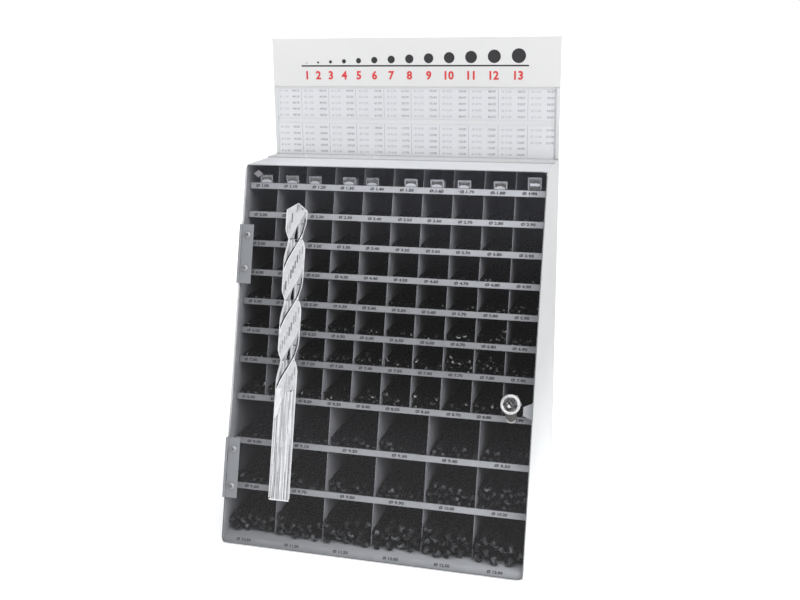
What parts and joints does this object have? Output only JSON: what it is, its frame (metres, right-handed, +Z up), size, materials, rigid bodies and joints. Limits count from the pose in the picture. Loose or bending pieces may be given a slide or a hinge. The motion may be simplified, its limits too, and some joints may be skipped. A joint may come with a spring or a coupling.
{
  "type": "drill bit display cabinet",
  "caption": "Countertop cabinet with pigeonholes for sorted twist drills behind a leaning clear hinged door with a cam lock, and an upright size-table board on top.",
  "frame": {"origin": "middle of the base plate's footprint, on the plane that the cabinet stands on", "axes": "+Z up, -Y out of the front, +X to the right seen from the front"},
  "size_m": [0.4022, 0.2511, 0.64],
  "materials": {
    "case_paint": "light grey powder coat, satin",
    "dark_paint": "dark grey paint, satin",
    "sign_paint": "light grey, satin",
    "header_rivet_paint": "painted over with the case",
    "label_film": "silver-grey label film",
    "card": "printed card, matte",
    "clear_plastic": "clear polystyrene",
    "door_acrylic": "clear cast acrylic, polished edges",
    "grey_plastic": "grey extrusion, satin",
    "hinge_steel": "light grey coated steel",
    "zinc_steel": "zinc-plated steel",
    "lock_chrome": "polished chrome",
    "white_print": "white screen print"
  },
  "bodies": {
    "case": {"side_panel_left": "case_paint", "side_panel_right": "case_paint", "top_panel": "case_paint", "bottom_panel": "case_paint", "back_panel": "dark_paint", "floor_tray": "dark_paint", "shelf_01": "dark_paint", "shelf_02": "dark_paint", "shelf_03": "dark_paint", "shelf_04": "dark_paint", "shelf_05": "dark_paint", "shelf_06": "dark_paint", "shelf_07": "dark_paint", "shelf_08": "dark_paint", "shelf_09": "dark_paint", "shelf_10": "dark_paint", "dividers_row_01": "dark_paint", "dividers_row_02": "dark_paint", "dividers_row_03": "dark_paint", "dividers_row_04": "dark_paint", "dividers_row_05": "dark_paint", "dividers_row_06": "dark_paint", "dividers_row_07": "dark_paint", "dividers_row_08": "dark_paint", "dividers_row_09": "dark_paint", "dividers_row_10": "dark_paint", "dividers_row_11": "dark_paint", "label_strips": "label_film", "header_board": "case_paint", "header_rivets": "header_rivet_paint", "sign_plate": "sign_paint", "table_card_upper": "card", "table_card_lower": "card", "card_cover_upper": "clear_plastic", "card_cover_lower": "clear_plastic", "card_rails": "grey_plastic", "hinge_case_leaf_upper": "hinge_steel", "hinge_case_leaf_lower": "hinge_steel", "hinge_pin_upper": "hinge_steel", "hinge_pin_lower": "hinge_steel", "case_leaf_rivets": "hinge_steel", "strike_tab": "zinc_steel", "mini_box_bodies": "clear_plastic", "mini_box_lids": "clear_plastic"},
    "door": {"door_panel": "door_acrylic", "hinge_door_leaf_upper": "hinge_steel", "hinge_door_leaf_lower": "hinge_steel", "door_leaf_screws": "hinge_steel", "door_leaf_nuts": "hinge_steel", "door_sticker": "label_film", "drill_decal": "white_print", "lock_housing": "lock_chrome", "lock_nut": "zinc_steel"},
    "lock_plug": {"lock_plug": "lock_chrome", "lock_cam": "zinc_steel", "cam_screw": "zinc_steel"}
  },
  "joints": [
    {"name": "door_hinge", "type": "hinge", "parent": "case", "child": "door", "pos_m": [-0.1999, -0.05884, 0.24236], "axis": [0, -0.2823, -0.9593], "range_deg": [0, 180]},
    {"name": "lock_turn", "type": "hinge", "parent": "door", "child": "lock_plug", "pos_m": [0.1723, -0.06757, 0.20595], "axis": [0, -0.9593, 0.2823], "range_deg": [0, 90]}
  ]
}
